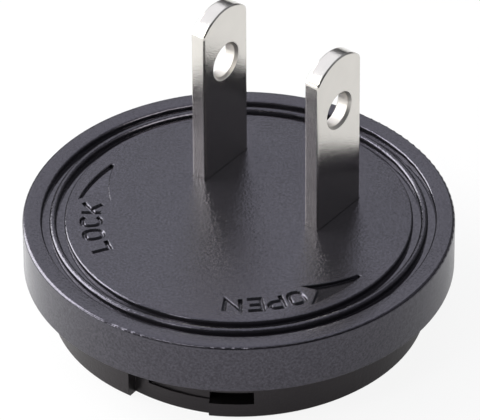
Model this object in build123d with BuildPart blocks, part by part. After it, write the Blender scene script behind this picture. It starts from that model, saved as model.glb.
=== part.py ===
from build123d import *

import os
from math import cos, radians, sin

# Round twist-lock plug clip: a welded cap and base, two flat blades and their rear contact plates.
# Origin at the centre of the skirt's lower edge.
# X runs across the blades, Y along their width and +Z out along their length.
# All lengths are in millimetres and all angles in degrees, counted from +X towards +Y.

# Flat blades
blade_pitch = 12.7
blade_width = 6.35
blade_thickness = 1.5
blade_reach = 17.2
blade_tip_rise = 1.5
blade_offset = 5.55
blade_corner_radius = 0.6
blade_edge_chamfer = 0.12
hole_radius = 1.6
hole_height = 11.5
hole_chamfer = 0.25
shoulder_height = 1.6
shoulder_overlap = 1.2
tail_width = 4.0
stake_height = 0.35
stake_overlap = 0.4

# Front cap
rim_height = 4.8
rim_overhang = 2.45
rim_edge_radius = 0.3
face_thickness = 1.8
rim_land_width = 1.75
outer_groove_width = 0.7
middle_land_width = 0.6
inner_groove_width = 0.75
groove_depth = 0.6
groove_edge_chamfer = 0.16

# Rear base
skirt_radius = 17.05
skirt_height = 5.0
skirt_wall = 2.45
skirt_chamfer = 0.25
spigot_step = 0.25
web_thickness = 1.6
seam_angle = -15.5

# Twist-lock slots in the skirt
slot_count = 2
entry_start = -88.1
track_start = -82.9
lock_start = -61.9
lock_end = -48.3
entry_height = 3.4
entry_depth = 1.1
ramp_depth = 0.6
lip_height = 1.6
track_height = 1.3
track_start_step = 0.24
track_end_step = 0.1
lock_depth = 1.5
cutter_margin = 1.0

# Rear contact plates
contact_width = 6.0
contact_length = 13.0
contact_thickness = 0.6
contact_inset = 0.3
contact_end_margin = 1.2
contact_corner_radius = 0.8

# Clearances
spigot_clearance = 0.05
blade_clearance = 0.02
contact_clearance = 0.1

# Radii and heights that follow from the sizes above
rim_radius = skirt_radius + rim_overhang
spigot_radius = skirt_radius - spigot_step
recess_radius = skirt_radius - skirt_wall
cap_bore_radius = spigot_radius + spigot_clearance
face_height = skirt_height + rim_height
face_underside = face_height - face_thickness
web_top = face_underside - shoulder_height
web_underside = web_top - web_thickness
contact_underside = web_underside + contact_inset - contact_thickness
stake_underside = contact_underside - stake_height
slot_angles = (entry_start, track_start, lock_start, lock_end)
outside = (-cutter_margin, -cutter_margin)

outer_groove_radius = rim_radius - rim_land_width
middle_land_radius = outer_groove_radius - outer_groove_width
inner_groove_radius = middle_land_radius - middle_land_width
face_radius = inner_groove_radius - inner_groove_width

blade_tip = face_height + blade_reach
blade_corner = blade_tip - blade_tip_rise
blade_sides = {"left": -blade_pitch / 2, "right": blade_pitch / 2}
blade_places = [(x, blade_offset) for x in blade_sides.values()]
contact_middle = blade_offset + tail_width / 2 + contact_end_margin - contact_length / 2
contact_places = [(x, contact_middle) for x in blade_sides.values()]


def polar(radius, angle):
    """Point on the XY plane at a radius and an angle."""
    return (radius * cos(radians(angle)), radius * sin(radians(angle)))


def ramp_at(angle):
    """Depth of the entry's ramped floor at an angle."""
    share = (angle - entry_start) / (lock_start - entry_start)
    return entry_depth + share * (ramp_depth - entry_depth)


def skirt_section(start, end, inner_depths, outer_depths, low):
    """Section between two angles and two depths below the skirt, each ramping from start to end."""
    middle = (start + end) / 2
    inner_start, inner_end = (skirt_radius - depth for depth in inner_depths)
    outer_start, outer_end = (skirt_radius - depth for depth in outer_depths)
    inner_middle = (inner_start + inner_end) / 2
    outer_middle = (outer_start + outer_end) / 2
    with BuildSketch(Plane.XY.offset(low)) as section:
        with BuildLine():
            Line(polar(inner_start, start), polar(outer_start, start))
            ThreePointArc(polar(outer_start, start), polar(outer_middle, middle), polar(outer_end, end))
            Line(polar(outer_end, end), polar(inner_end, end))
            ThreePointArc(polar(inner_end, end), polar(inner_middle, middle), polar(inner_start, start))
        make_face()
    return section.sketch


os.makedirs("parts", exist_ok=True)

# Front cap: face, ring grooves, rim and blade slots
with BuildPart() as front_cap:
    with BuildSketch(Plane.XZ):
        with BuildLine():
            Polyline(
                (0, face_underside),
                (cap_bore_radius, face_underside),
                (cap_bore_radius, skirt_height + spigot_step),
                (cap_bore_radius + spigot_step, skirt_height),
                (rim_radius, skirt_height),
                (rim_radius, face_height),
                (0, face_height),
                close=True,
            )
        make_face()
    revolve(axis=Axis.Z)
    with BuildSketch(Plane.XY.offset(face_height - groove_depth)):
        Circle(outer_groove_radius)
        Circle(middle_land_radius, mode=Mode.SUBTRACT)
        Circle(inner_groove_radius)
        Circle(face_radius, mode=Mode.SUBTRACT)
    extrude(amount=groove_depth, mode=Mode.SUBTRACT)
    top_edges = front_cap.edges().group_by(Axis.Z)[-1].filter_by(GeomType.CIRCLE)
    groove_edges = top_edges.sort_by(SortBy.RADIUS)[:-1]
    chamfer(groove_edges, length=min(groove_edge_chamfer, middle_land_width / 3))
    fillet(top_edges.sort_by(SortBy.RADIUS)[-1], radius=rim_edge_radius)
    with BuildSketch(Plane.XY.offset(face_underside)):
        with Locations(*blade_places):
            Rectangle(blade_thickness + 2 * blade_clearance, blade_width + 2 * blade_clearance)
    extrude(amount=face_thickness, mode=Mode.SUBTRACT)

front_cap.part.label = "front_cap"
export_step(front_cap.part, "parts/front_cap.step")

# Rear base: skirt, cross web, spigot, twist-lock slots, tail slots and contact pockets
# The seam of its round faces lies clear of the slots
with BuildPart() as rear_base:
    with BuildSketch(Plane.XZ.rotated((0, 0, seam_angle))):
        with BuildLine():
            Polyline(
                (0, web_underside),
                (recess_radius, web_underside),
                (recess_radius, 0),
                (skirt_radius - skirt_chamfer, 0),
                (skirt_radius, skirt_chamfer),
                (skirt_radius, skirt_height),
                (spigot_radius, skirt_height),
                (spigot_radius, face_underside),
                (recess_radius, face_underside),
                (recess_radius, web_top),
                (0, web_top),
                close=True,
            )
        make_face()
    revolve(axis=Axis.Z)
    for slot in range(slot_count):
        turn = slot * 360 / slot_count
        entry, track, lock, stop = (turn + angle for angle in slot_angles)
        mouth = skirt_section(entry, lock, (entry_depth, ramp_depth), outside, 0)
        extrude(mouth, amount=entry_height, mode=Mode.SUBTRACT)
        track_floor = (ramp_at(track_start) + track_start_step, ramp_depth + track_end_step)
        lug_track = skirt_section(track, lock, track_floor, outside, lip_height)
        extrude(lug_track, amount=track_height, mode=Mode.SUBTRACT)
        lock_pocket = skirt_section(lock, stop, (lock_depth, lock_depth), outside, lip_height)
        extrude(lock_pocket, amount=track_height, mode=Mode.SUBTRACT)
    with BuildSketch(Plane.XY.offset(web_underside)):
        with Locations(*contact_places):
            RectangleRounded(
                contact_width + 2 * contact_clearance,
                contact_length + 2 * contact_clearance,
                contact_corner_radius + contact_clearance,
            )
    extrude(amount=contact_inset, mode=Mode.SUBTRACT)
    with BuildSketch(Plane.XY.offset(web_underside)):
        with Locations(*blade_places):
            Rectangle(blade_thickness + 2 * blade_clearance, tail_width + 2 * blade_clearance)
    extrude(amount=web_thickness, mode=Mode.SUBTRACT)

rear_base.part.label = "rear_base"
export_step(rear_base.part, "parts/rear_base.step")

for side, blade_x in blade_sides.items():
    # Blade: pierced shank with an arched tip, trapped shoulder, tail and staked end
    with BuildPart() as blade:
        blade_plane = Plane(origin=(blade_x, blade_offset, 0), x_dir=(0, 1, 0), z_dir=(1, 0, 0))
        with BuildSketch(blade_plane) as outline:
            with BuildLine():
                blade_corners = [(y, blade_corner) for y in (blade_width / 2, -blade_width / 2)]
                ThreePointArc(blade_corners[0], (0, blade_tip), blade_corners[1])
                Polyline(
                    blade_corners[1],
                    (-blade_width / 2, face_underside),
                    (-blade_width / 2 - shoulder_overlap, face_underside),
                    (-blade_width / 2 - shoulder_overlap, web_top),
                    (-tail_width / 2, web_top),
                    (-tail_width / 2, contact_underside),
                    (tail_width / 2, contact_underside),
                    (tail_width / 2, web_top),
                    (blade_width / 2 + shoulder_overlap, web_top),
                    (blade_width / 2 + shoulder_overlap, face_underside),
                    (blade_width / 2, face_underside),
                    blade_corners[0],
                )
            make_face()
            fillet(outline.vertices().sort_by(Axis.Y)[-2:], radius=blade_corner_radius)
        extrude(amount=blade_thickness / 2, both=True)
        long_edges = blade.edges().filter_by(Axis.Z).sort_by(SortBy.LENGTH)[-4:]
        chamfer(blade.edges().filter_by(GeomType.CIRCLE) + long_edges, length=blade_edge_chamfer)
        with BuildSketch(blade_plane):
            with Locations((0, face_height + hole_height)):
                Circle(hole_radius)
        extrude(amount=blade_thickness, both=True, mode=Mode.SUBTRACT)
        chamfer(blade.edges(Select.LAST).filter_by(GeomType.CIRCLE), length=hole_chamfer)
        with BuildSketch(Plane.XY.offset(stake_underside)):
            with Locations((blade_x, blade_offset)):
                Rectangle(blade_thickness + 2 * stake_overlap, tail_width + 2 * stake_overlap)
        extrude(amount=stake_height)

    blade.part.label = f"blade_{side}"
    export_step(blade.part, f"parts/blade_{side}.step")

    # Contact plate: flat plate in its pocket in the web, slotted over the blade's tail
    with BuildPart() as contact:
        with BuildSketch(Plane.XY.offset(contact_underside)):
            with Locations((blade_x, contact_middle)):
                RectangleRounded(contact_width, contact_length, contact_corner_radius)
            with Locations((blade_x, blade_offset)):
                Rectangle(
                    blade_thickness + 2 * blade_clearance,
                    tail_width + 2 * blade_clearance,
                    mode=Mode.SUBTRACT,
                )
        extrude(amount=contact_thickness)

    contact.part.label = f"contact_{side}"
    export_step(contact.part, f"parts/contact_{side}.step")
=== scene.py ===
from math import copysign, cos, pi, radians, sin

import bmesh
import bpy
from mathutils import Matrix, Vector


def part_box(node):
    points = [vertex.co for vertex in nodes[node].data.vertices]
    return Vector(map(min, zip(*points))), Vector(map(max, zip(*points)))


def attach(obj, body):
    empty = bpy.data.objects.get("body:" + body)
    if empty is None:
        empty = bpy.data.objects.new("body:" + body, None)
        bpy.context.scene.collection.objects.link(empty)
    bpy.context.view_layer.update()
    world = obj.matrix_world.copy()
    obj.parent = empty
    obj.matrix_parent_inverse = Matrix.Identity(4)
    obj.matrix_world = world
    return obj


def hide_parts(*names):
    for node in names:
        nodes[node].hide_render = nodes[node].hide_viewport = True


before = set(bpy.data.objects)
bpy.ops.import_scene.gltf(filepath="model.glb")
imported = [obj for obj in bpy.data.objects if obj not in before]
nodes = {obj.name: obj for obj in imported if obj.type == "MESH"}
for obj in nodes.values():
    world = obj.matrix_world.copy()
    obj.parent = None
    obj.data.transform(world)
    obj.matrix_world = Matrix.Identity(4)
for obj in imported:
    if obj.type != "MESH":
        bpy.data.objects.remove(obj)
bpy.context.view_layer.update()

# Lengths are in metres and angles in radians, unless a comment gives another unit
MM = 0.001
UP = Vector((0, 0, 1))

# Places on the CAD model
FACE_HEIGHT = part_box("front_cap")[1].z
FACE_MIDDLE = UP * FACE_HEIGHT
BLADE_LOW, BLADE_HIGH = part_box("blade_left")
HOLE_HEIGHT = 11.5 * MM
HOLE_MIDDLE = (0, (BLADE_LOW.y + BLADE_HIGH.y) / 2, FACE_HEIGHT + HOLE_HEIGHT)

# Camera, found by fitting the photograph's outlines, with its lens and sensor in millimetres
CAMERA_AZIMUTH = radians(37.391)
CAMERA_ELEVATION = radians(36.496)
CAMERA_ROLL = radians(-0.313)
CAMERA_DISTANCE = 542.04 * MM
CAMERA_LENS = 451.2
CAMERA_SENSOR = 36
CAMERA_NEAR = 0.01
CAMERA_FAR = 10
AIM_RIGHT = 0.118 * MM
AIM_UP = 0.507 * MM

# Horizontal directions as the camera sees them
VIEW_RIGHT = Vector((cos(CAMERA_AZIMUTH), sin(CAMERA_AZIMUTH), 0))
VIEW_FRONT = Vector((sin(CAMERA_AZIMUTH), -cos(CAMERA_AZIMUTH), 0))

# Moulded plastics: noise for the grain and for clouds of gloss, and the rounding of edges
PLASTIC_GRAIN = {"Scale": 4600.0, "Detail": 1.0, "Roughness": 0.6}
PLASTIC_CLOUD = {"Scale": 420.0, "Detail": 3.0, "Roughness": 0.55}
PLASTIC_IOR = 1.7
PLASTIC_SWING = 0.05
PLASTIC_EDGE = 0.08 * MM
PLASTIC_EDGE_SAMPLES = 4

# Painted sparkle of the cap's grain, between a low and a high spot of its noise: painted glints on the
# high spots and painted shade in the low ones
GRAIN_LOW = 0.25
GRAIN_HIGH = 0.75
PAINTED_SPARKLE = 0.3

# Polished hollows in the cap's face, and the smoother edge of its rim
POLISHED_BELOW = 0.06 * MM
POLISHED_WITHIN = 18.0 * MM
POLISH_BLEND = 0.04 * MM
POLISH_SHARE = 0.45
RIM_EDGE = 19.1 * MM
RIM_BLEND = 0.2 * MM
RIM_GRAIN = 0.35

# Nickel plate: noise for the grain and for clouds of tint and gloss, and the rougher holes
METAL_GRAIN = {"Scale": 8000.0, "Detail": 1.0, "Roughness": 0.5}
METAL_CLOUD = {"Scale": 500.0, "Detail": 3.0, "Roughness": 0.5}
METAL_TINTS = (0.93, 1.05)
METAL_SMOOTHER = 0.03
METAL_ROUGHER = 0.05
METAL_EDGE = 0.14 * MM
METAL_EDGE_SAMPLES = 6
HOLE_EDGE = 1.8 * MM
HOLE_BLEND = 0.1 * MM
HOLE_ROUGHNESS = 0.45

# Cuts of the marks in the face
STROKE_HALF_TOP = 0.26 * MM
STROKE_HALF_FLOOR = 0.05 * MM
STROKE_DEPTH = 0.25 * MM
ARROW_DEPTH = 0.34 * MM
ARROW_CHAMFER = 0.07 * MM
CUT_ABOVE = 0.05 * MM
MITRE_LIMIT = 0.45
SAME_POINT = 1e-7
WELD_DISTANCE = 0.5e-6

# Letters: radii of their foot and head and the inset of their strokes, in millimetres
LETTER_FOOT = 12.3
LETTER_HEAD = 14.3
STROKE_INSET = 0.17
ARC_STEPS = 12
LOOP_STEPS = 2 * ARC_STEPS
LOOP_POWER = 0.75

# Words for the two directions of turning: each letter's two sides, in degrees from +X towards +Y
WORDS = [
    ("L", 240.6, 233.9),
    ("O", 232.8, 225.7),
    ("C", 224.2, 216.8),
    ("K", 215.6, 208.3),
    ("O", -26.6, -33.7),
    ("P", -35.1, -41.9),
    ("E", -43.1, -49.9),
    ("N", -51.4, -58.9),
]

# Arrow at LOCK, in degrees and millimetres: both ends of its blunt tip, inner corner, notch, outer corner
ARROW = [(182.5, 14.1), (182.5, 13.85), (205.1, 11.9), (200.4, 13.12), (206.6, 14.68)]
LONG_EDGE = 10

# Edges that bend more than this stay sharp, among the marks and elsewhere
MARKS_WITHIN = 15.3 * MM
MARK_CREASE = radians(38)
BODY_CREASE = radians(60)

# Floor: pale, with a share of plain white for each kind of ray, which leaves its shadow faint
FLOOR_SIZE = 4.0
FLOOR_DROP = 0.02 * MM
FLOOR_COLOUR = (0.80, 0.80, 0.79)
FLOOR_ROUGHNESS = 0.9
FLOOR_GLOW = {"Is Camera Ray": 0.9, "Is Glossy Ray": 0.47, "Is Transmission Ray": 0.9}

# World: a pale ceiling over a dark horizon, darker on the camera's side
SKY_TINT = (0.92, 0.93, 1.0)
SKY_LEVEL = 0.30
SKY_FROM = 0.45
HORIZON_LEVEL = 0.06
HORIZON_TO = 0.05
FRONT_SHARE = 0.4
FRONT_FROM = 0.6
BACK_TO = -0.1

# Soft boxes: places to the camera's right, towards it and upwards, then sizes and radiances
TOP_PLACE = (-0.42, -0.45, 0.50)
TOP_SIZE = (1.20, 1.10)
TOP_RADIANCE = 0.96
FACE_LAMPS = [
    ("left", (-0.50, 0.136, 0.387), (0.30, 0.30), 1.0),
    ("key", (-0.18, -0.075, 0.10), (0.20, 0.20), 7.5),
    ("fill", (-0.23, 0.23, 0.378), (0.11, 0.11), 10.0),
    ("low", (-0.272, 0.083, 0.069), (0.10, 0.05), 10.0),
]


def seen_from_camera(right, front, up):
    """Point in the row frame from distances to the camera's right, towards it and upwards."""
    return VIEW_RIGHT * right + VIEW_FRONT * front + UP * up


def new_object(name, data):
    """Object in the scene with a mesh, lamp or camera as its data."""
    made = bpy.data.objects.new(name, data)
    bpy.context.scene.collection.objects.link(made)
    return made


def new_material(name):
    """Material with an empty node tree but for its output and one principled shader."""
    material = bpy.data.materials.new(name)
    material.use_nodes = True
    return material, material.node_tree.nodes["Principled BSDF"]


def add_node(owner, kind, **values):
    """Node in a material or world, with its properties set by name and its inputs by title."""
    node = owner.node_tree.nodes.new(kind)
    for key, value in values.items():
        if hasattr(node, key):
            setattr(node, key, value)
        else:
            node.inputs[key.replace("_", " ")].default_value = value
    return node


def link(owner, source, output, target, socket):
    """Joins an output of one node to an input of another."""
    owner.node_tree.links.new(source.outputs[output], target.inputs[socket])


def add_ramp(owner, start=0.0, end=1.0, low=0.0, high=1.0, **values):
    """Node that runs from one value at the start to another at the end, and holds them beyond."""
    limits = {"From_Min": start, "From_Max": end, "To_Min": low, "To_Max": high}
    return add_node(owner, "ShaderNodeMapRange", **limits, **values)


def add_distance(material, place, middle, across):
    """Distance from a line through a point, counted only in the directions across the line."""
    from_middle = add_node(material, "ShaderNodeVectorMath", operation="SUBTRACT")
    from_middle.inputs[1].default_value = middle
    flat = add_node(material, "ShaderNodeVectorMath", operation="MULTIPLY")
    flat.inputs[1].default_value = across
    distance = add_node(material, "ShaderNodeVectorMath", operation="LENGTH")
    link(material, place, "Object", from_middle, 0)
    link(material, from_middle, 0, flat, 0)
    link(material, flat, 0, distance, 0)
    return distance


# Materials
def moulded_plastic(name, colour, sheen, shine, roughness, grain_depth):
    """Black moulded plastic with a fine eroded grain and slight changes of gloss."""
    material, shader = new_material(name)
    shader.inputs["Base Color"].default_value = (*colour, 1)
    shader.inputs["Specular Tint"].default_value = (*sheen, 1)
    shader.inputs["Specular IOR Level"].default_value = shine
    shader.inputs["IOR"].default_value = PLASTIC_IOR
    place = add_node(material, "ShaderNodeTexCoord", name="place")
    grain = add_node(material, "ShaderNodeTexNoise", name="grain", **PLASTIC_GRAIN)
    cloud = add_node(material, "ShaderNodeTexNoise", **PLASTIC_CLOUD)
    smoothest, roughest = roughness - PLASTIC_SWING, roughness + PLASTIC_SWING
    gloss = add_ramp(material, low=smoothest, high=roughest, name="gloss")
    bump = add_node(material, "ShaderNodeBump", name="bump", Strength=1.0, Distance=grain_depth)
    edge = add_node(material, "ShaderNodeBevel", samples=PLASTIC_EDGE_SAMPLES, Radius=PLASTIC_EDGE)
    link(material, place, "Object", grain, "Vector")
    link(material, place, "Object", cloud, "Vector")
    link(material, cloud, "Fac", gloss, "Value")
    link(material, gloss, "Result", shader, "Roughness")
    link(material, grain, "Fac", bump, "Height")
    link(material, edge, "Normal", bump, "Normal")
    link(material, bump, "Normal", shader, "Normal")
    return material


def add_painted_sparkle(material):
    """Raises the specular level on the grain's high spots and lowers it in its low ones, about the same
    level: painted glints and painted shade.
    """
    shader, grain = (material.node_tree.nodes[name] for name in ("Principled BSDF", "grain"))
    shine = shader.inputs["Specular IOR Level"].default_value
    dull, bright = shine * (1 - PAINTED_SPARKLE), shine * (1 + PAINTED_SPARKLE)
    painted_sparkle = add_ramp(material, GRAIN_LOW, GRAIN_HIGH, dull, bright)
    link(material, grain, "Fac", painted_sparkle, "Value")
    link(material, painted_sparkle, "Result", shader, "Specular IOR Level")


def polish_hollows(material):
    """Polishes the marks and rings in the face, and takes most of the grain off the rim's edge."""
    names = ("Principled BSDF", "place", "gloss", "bump")
    shader, place, gloss, bump = (material.node_tree.nodes[name] for name in names)
    polished_top = FACE_HEIGHT - POLISHED_BELOW
    spot = add_node(material, "ShaderNodeSeparateXYZ")
    radius = add_distance(material, place, middle=(0, 0, 0), across=(1, 1, 0))
    above = add_ramp(material, polished_top - POLISH_BLEND, polished_top)
    outside = add_ramp(material, POLISHED_WITHIN, POLISHED_WITHIN + POLISH_BLEND)
    rim = add_ramp(material, RIM_EDGE, RIM_EDGE + RIM_BLEND, 1.0, RIM_GRAIN)
    grained = add_node(material, "ShaderNodeMath", operation="MAXIMUM")
    depth = add_node(material, "ShaderNodeMath", operation="MULTIPLY")
    dulling = add_ramp(material, low=POLISH_SHARE)
    dulled = add_node(material, "ShaderNodeMath", operation="MULTIPLY")
    link(material, place, "Object", spot, "Vector")
    link(material, spot, "Z", above, "Value")
    link(material, radius, "Value", outside, "Value")
    link(material, above, "Result", grained, 0)
    link(material, outside, "Result", grained, 1)
    link(material, radius, "Value", rim, "Value")
    link(material, grained, 0, depth, 0)
    link(material, rim, "Result", depth, 1)
    link(material, depth, 0, bump, "Strength")
    link(material, grained, 0, dulling, "Value")
    link(material, gloss, "Result", dulled, 0)
    link(material, dulling, "Result", dulled, 1)
    link(material, dulled, 0, shader, "Roughness")


def plated_metal(name, colour, roughness, grain_depth):
    """Nickel plate with a fine grain that breaks up what it mirrors, rougher in the punched hole."""
    material, shader = new_material(name)
    shader.inputs["Metallic"].default_value = 1.0
    place = add_node(material, "ShaderNodeTexCoord")
    grain = add_node(material, "ShaderNodeTexNoise", **METAL_GRAIN)
    cloud = add_node(material, "ShaderNodeTexNoise", **METAL_CLOUD)
    tint = add_node(material, "ShaderNodeValToRGB")
    for element, level in zip(tint.color_ramp.elements, METAL_TINTS):
        element.color = (*[min(1, channel * level) for channel in colour], 1)
    gloss = add_ramp(material, low=roughness - METAL_SMOOTHER, high=roughness + METAL_ROUGHER)
    bump = add_node(material, "ShaderNodeBump", Strength=1.0, Distance=grain_depth)
    edge = add_node(material, "ShaderNodeBevel", samples=METAL_EDGE_SAMPLES, Radius=METAL_EDGE)
    from_hole = add_distance(material, place, middle=HOLE_MIDDLE, across=(0, 1, 1))
    bore = add_ramp(material, HOLE_EDGE, HOLE_EDGE + HOLE_BLEND, HOLE_ROUGHNESS)
    link(material, place, "Object", grain, "Vector")
    link(material, place, "Object", cloud, "Vector")
    link(material, cloud, "Fac", tint, "Fac")
    link(material, tint, "Color", shader, "Base Color")
    link(material, cloud, "Fac", gloss, "Value")
    link(material, from_hole, "Value", bore, "Value")
    link(material, gloss, "Result", bore, "To Max")
    link(material, bore, "Result", shader, "Roughness")
    link(material, grain, "Fac", bump, "Height")
    link(material, edge, "Normal", bump, "Normal")
    link(material, bump, "Normal", shader, "Normal")
    return material


cap_plastic = moulded_plastic(
    "cap_black",
    colour=(0.011, 0.0105, 0.012),
    sheen=(0.88, 0.84, 1.0),
    shine=0.5,
    roughness=0.19,
    grain_depth=0.040 * MM,
)
# The cap's grain gets painted glints and painted shade through its specular level
add_painted_sparkle(cap_plastic)
polish_hollows(cap_plastic)
base_plastic = moulded_plastic(
    "base_black",
    colour=(0.012, 0.011, 0.011),
    sheen=(1.0, 0.9, 0.97),
    shine=0.25,
    roughness=0.34,
    grain_depth=0.02 * MM,
)
blade_nickel = plated_metal(
    "bright_nickel",
    colour=(0.71, 0.685, 0.64),
    roughness=0.13,
    grain_depth=0.012 * MM,
)
contact_nickel = plated_metal(
    "dull_nickel",
    colour=(0.66, 0.63, 0.57),
    roughness=0.22,
    grain_depth=0.008 * MM,
)


# Letters as strokes in a unit box
def bulged(value):
    """Share of the box from a cosine or sine, filled out towards the corners."""
    return 0.5 + 0.5 * copysign(abs(value) ** LOOP_POWER, value)


def oval(start, end):
    """Part of an upright rounded loop, between two angles in degrees."""
    turns = [radians(start + (end - start) * i / LOOP_STEPS) for i in range(LOOP_STEPS + 1)]
    return [(bulged(cos(turn)), bulged(sin(turn))) for turn in turns]


def half_loop(low, high, left):
    """Bowl that runs out from a stem at the left, round and back to it."""
    points = [(0, high), (left, high)]
    for i in range(1, ARC_STEPS):
        turn = pi / 2 - pi * i / ARC_STEPS
        points.append((left + (1 - left) * cos(turn), (low + high) / 2 + (high - low) / 2 * sin(turn)))
    return points + [(left, low), (0, low)]


LETTERS = {
    "L": [[(0, 1), (0, 0), (1, 0)]],
    "O": [oval(90, 450)],
    "C": [oval(38, 322)],
    "K": [[(0, 1), (0, 0)], [(1, 1), (0, 0.36)], [(0.33, 0.57), (1, 0)]],
    "P": [[(0, 0), (0, 1)], half_loop(0.42, 1, 0.55)],
    "E": [[(1, 1), (0, 1), (0, 0), (1, 0)], [(0, 0.52), (0.85, 0.52)]],
    "N": [[(0, 0), (0, 1), (1, 0), (1, 1)]],
}


# Marks cut into the face: the two words, and an arrow at each
def on_face(angle, radius):
    """Point on the face, in metres, from an angle in degrees and a radius in millimetres."""
    return Vector((cos(radians(angle)), sin(radians(angle)))) * radius * MM


def letter_paths(letter, left, right):
    """The letter's strokes as lines on the face, bent round its centre."""
    inset = STROKE_INSET / ((LETTER_FOOT + LETTER_HEAD) / 2) * 180 / pi
    left, right = left - inset, right + inset
    foot, head = LETTER_FOOT + STROKE_INSET, LETTER_HEAD - STROKE_INSET
    return [
        [on_face(left + (right - left) * u, foot + (head - foot) * v) for u, v in stroke]
        for stroke in LETTERS[letter]
    ]


def arrow_outline(mirror):
    """The arrow's outline on the face, its long edges bent round the centre."""
    outline = []
    for (angle, radius), (next_angle, next_radius) in zip(ARROW, ARROW[1:] + ARROW[:1]):
        steps = ARC_STEPS if abs(next_angle - angle) > LONG_EDGE else 1
        for i in range(steps):
            share = i / steps
            at = angle + (next_angle - angle) * share
            outline.append(on_face(180 - at if mirror else at, radius + (next_radius - radius) * share))
    return outline


def mitred(path, closed):
    """Sideways direction at each point of a path, stretched at corners."""
    sides = []
    for i, point in enumerate(path):
        before = path[i - 1] if i or closed else None
        after = path[(i + 1) % len(path)] if i + 1 < len(path) or closed else None
        steps = [(b - a).normalized() for a, b in ((before, point), (point, after)) if a and b]
        normals = [Vector((-s.y, s.x)) for s in steps]
        mean = sum(normals, Vector((0, 0))).normalized()
        sides.append(mean / max(MITRE_LIMIT, mean.dot(normals[0])))
    return sides


def add_trough(shape, path):
    """Closed cutter along a path, wider at the face than at its floor."""
    closed = (path[0] - path[-1]).length < SAME_POINT
    path = path[:-1] if closed else list(path)
    if not closed:
        first, last = (path[0] - path[1]).normalized(), (path[-1] - path[-2]).normalized()
        path[0], path[-1] = path[0] + first * STROKE_HALF_FLOOR, path[-1] + last * STROKE_HALF_FLOOR
    high, low = FACE_HEIGHT + CUT_ABOVE, FACE_HEIGHT - STROKE_DEPTH
    corners = [
        (STROKE_HALF_TOP, high),
        (-STROKE_HALF_TOP, high),
        (-STROKE_HALF_FLOOR, low),
        (STROKE_HALF_FLOOR, low),
    ]
    rings = [
        [shape.verts.new((*(point + side * half), z)) for half, z in corners]
        for point, side in zip(path, mitred(path, closed))
    ]
    following_rings = rings[1:] + rings[:1] if closed else rings[1:]
    for ring, following in zip(rings, following_rings):
        for i in range(4):
            shape.faces.new((ring[i], ring[(i + 1) % 4], following[(i + 1) % 4], following[i]))
    if not closed:
        shape.faces.new(rings[0][::-1])
        shape.faces.new(rings[-1])


def signed_area(outline):
    """Area of an outline, positive where it runs anticlockwise."""
    return sum(a.x * b.y - b.x * a.y for a, b in zip(outline, outline[1:] + outline[:1])) / 2


def add_pocket(shape, outline):
    """Closed cutter with upright walls and a chamfered edge from an outline on the face."""
    flare = ARROW_CHAMFER + CUT_ABOVE
    sides = mitred(outline, True)
    outward = -1 if signed_area(outline) > 0 else 1
    rings = [
        [shape.verts.new((*(point + side * outward * grow), z)) for point, side in zip(outline, sides)]
        for grow, z in (
            (flare, FACE_HEIGHT + CUT_ABOVE),
            (0, FACE_HEIGHT - ARROW_CHAMFER),
            (0, FACE_HEIGHT - ARROW_DEPTH),
        )
    ]
    count = len(outline)
    for upper, lower in zip(rings, rings[1:]):
        for i in range(count):
            shape.faces.new((upper[i], upper[(i + 1) % count], lower[(i + 1) % count], lower[i]))
    shape.faces.new(rings[0])
    shape.faces.new(rings[-1][::-1])


def face_marks():
    """Cutter with every stroke of the words and both arrows."""
    shape = bmesh.new()
    for letter, left, right in WORDS:
        for path in letter_paths(letter, left, right):
            add_trough(shape, path)
    for mirror in (False, True):
        add_pocket(shape, arrow_outline(mirror))
    bmesh.ops.recalc_face_normals(shape, faces=shape.faces)
    mesh = bpy.data.meshes.new("face_marks")
    shape.to_mesh(mesh)
    shape.free()
    return new_object("face_marks", mesh)


def welded_copy(node, name):
    """New object with a CAD node's shape, its vertices joined so that it is one closed skin."""
    source = nodes[node].data
    mesh = bpy.data.meshes.new(name)
    mesh.from_pydata([v.co for v in source.vertices], [], [p.vertices for p in source.polygons])
    shape = bmesh.new()
    shape.from_mesh(mesh)
    bmesh.ops.remove_doubles(shape, verts=shape.verts, dist=WELD_DISTANCE)
    shape.to_mesh(mesh)
    shape.free()
    return new_object(name, mesh)


def cut(target, tool):
    """Cuts the tool out of the target's mesh and removes the tool."""
    step = target.modifiers.new("cut", "BOOLEAN")
    step.operation = "DIFFERENCE"
    step.solver = "EXACT"
    step.use_self = True
    step.object = tool
    graph = bpy.context.evaluated_depsgraph_get()
    result = bpy.data.meshes.new_from_object(target.evaluated_get(graph))
    target.modifiers.clear()
    target.data = result
    bpy.data.objects.remove(tool)


def shade(target, material):
    """One material, with crisp marks, large faces kept flat and small chamfers rounded elsewhere."""
    mesh = target.data
    mesh.materials.clear()
    mesh.materials.append(material)
    shape = bmesh.new()
    shape.from_mesh(mesh)
    for edge in shape.edges:
        middle = (edge.verts[0].co + edge.verts[1].co) / 2
        limit = MARK_CREASE if middle.xy.length < MARKS_WITHIN else BODY_CREASE
        edge.smooth = edge.calc_face_angle(0) < limit
    for face in shape.faces:
        face.smooth = True
        face.material_index = 0
    shape.to_mesh(mesh)
    shape.free()
    rounding = target.modifiers.new("rounding", "WEIGHTED_NORMAL")
    rounding.mode = "FACE_AREA"
    rounding.keep_sharp = True


marked_cap = welded_copy("front_cap", "marked_cap")
cut(marked_cap, face_marks())
shade(marked_cap, cap_plastic)
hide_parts("front_cap")
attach(marked_cap, "root")

# The other CAD nodes keep their shapes
for node, slot, material in (
    ("rear_base", "base_plastic", base_plastic),
    ("blade_left", "blade_nickel", blade_nickel),
    ("blade_right", "blade_nickel", blade_nickel),
    ("contact_left", "contact_nickel", contact_nickel),
    ("contact_right", "contact_nickel", contact_nickel),
):
    nodes[node].data.materials.clear()
    nodes[node].data.materials.append(material)

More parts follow.
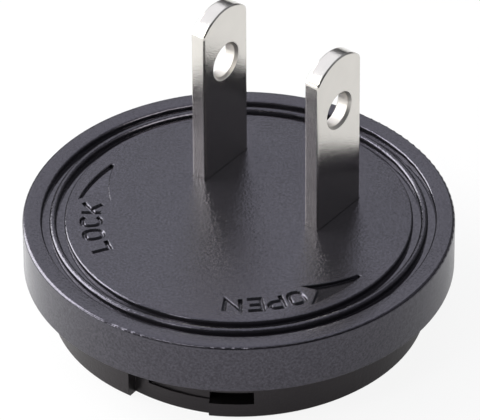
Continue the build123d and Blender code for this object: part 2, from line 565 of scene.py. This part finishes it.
# Floor
floor_shape = bmesh.new()
bmesh.ops.create_grid(floor_shape, x_segments=1, y_segments=1, size=FLOOR_SIZE / 2)
floor_mesh = bpy.data.meshes.new("floor")
floor_shape.to_mesh(floor_mesh)
floor_shape.free()
floor = new_object("floor", floor_mesh)
floor.location.z = -FLOOR_DROP

floor_white, floor_shader = new_material("floor_white")
floor_shader.inputs["Base Color"].default_value = (*FLOOR_COLOUR, 1)
floor_shader.inputs["Roughness"].default_value = FLOOR_ROUGHNESS
floor_shader.inputs["Specular IOR Level"].default_value = 0.0
glow = add_node(floor_white, "ShaderNodeEmission", Strength=1.0)
rays = add_node(floor_white, "ShaderNodeLightPath")
blend = add_node(floor_white, "ShaderNodeMixShader")
share = None
for ray, weight in FLOOR_GLOW.items():
    step = add_node(floor_white, "ShaderNodeMath", operation="MULTIPLY_ADD")
    step.inputs[1].default_value = weight
    step.inputs[2].default_value = 0.0
    link(floor_white, rays, ray, step, 0)
    if share:
        link(floor_white, share, 0, step, 2)
    share = step
link(floor_white, share, 0, blend, 0)
link(floor_white, floor_shader, 0, blend, 1)
link(floor_white, glow, 0, blend, 2)
link(floor_white, blend, 0, floor_white.node_tree.nodes["Material Output"], "Surface")
floor.data.materials.append(floor_white)

# World
world = bpy.data.worlds.new("studio")
bpy.context.scene.world = world
world.use_nodes = True
room = world.node_tree.nodes["Background"]
room.inputs["Color"].default_value = (*SKY_TINT, 1)
direction = add_node(world, "ShaderNodeTexCoord")
height = add_node(world, "ShaderNodeSeparateXYZ")
front = add_node(world, "ShaderNodeVectorMath", operation="DOT_PRODUCT")
front.inputs[1].default_value = VIEW_FRONT
smooth = {"interpolation_type": "SMOOTHSTEP"}
level = add_ramp(world, HORIZON_TO, SKY_FROM, HORIZON_LEVEL, SKY_LEVEL, **smooth)
shade_front = add_ramp(world, BACK_TO, FRONT_FROM, 1.0, FRONT_SHARE, **smooth)
strength = add_node(world, "ShaderNodeMath", operation="MULTIPLY")
link(world, direction, "Generated", height, "Vector")
link(world, direction, "Generated", front, 0)
link(world, height, "Z", level, "Value")
link(world, front, "Value", shade_front, "Value")
link(world, level, "Result", strength, 0)
link(world, shade_front, "Result", strength, 1)
link(world, strength, "Value", room, "Strength")


# Soft boxes
def soft_box(name, place, target, across, size, radiance, colour=(1, 1, 1)):
    """Area lamp at a place, turned to a target, with a surface as bright as asked."""
    lamp = bpy.data.lights.new(name, "AREA")
    lamp.shape = "RECTANGLE"
    lamp.size, lamp.size_y = size
    lamp.energy = radiance * size[0] * size[1] * pi
    lamp.color = colour
    back = (place - target).normalized()
    side = (across - back * across.dot(back)).normalized()
    turn = Matrix((side, back.cross(side), back)).transposed()
    made = new_object(name, lamp)
    made.matrix_world = Matrix.Translation(place) @ turn.to_4x4()


top_place = seen_from_camera(*TOP_PLACE)
soft_box("top_back", top_place, top_place - UP, VIEW_RIGHT, TOP_SIZE, TOP_RADIANCE, SKY_TINT)
for name, lamp_place, size, radiance in FACE_LAMPS:
    soft_box(name, seen_from_camera(*lamp_place), FACE_MIDDLE, VIEW_FRONT, size, radiance)

# Camera
camera = new_object("camera", bpy.data.cameras.new("camera"))
camera.data.lens = CAMERA_LENS
camera.data.sensor_width = CAMERA_SENSOR
camera.data.clip_start = CAMERA_NEAR
camera.data.clip_end = CAMERA_FAR
back = VIEW_FRONT * cos(CAMERA_ELEVATION) + UP * sin(CAMERA_ELEVATION)
level_up = back.cross(VIEW_RIGHT)
right = VIEW_RIGHT * cos(CAMERA_ROLL) + level_up * sin(CAMERA_ROLL)
up = level_up * cos(CAMERA_ROLL) - VIEW_RIGHT * sin(CAMERA_ROLL)
camera_place = FACE_MIDDLE + right * AIM_RIGHT + up * AIM_UP + back * CAMERA_DISTANCE
camera_turn = Matrix((right, up, back)).transposed()
camera.matrix_world = Matrix.Translation(camera_place) @ camera_turn.to_4x4()
bpy.context.scene.camera = camera
bpy.context.scene.view_settings.view_transform = "Standard"
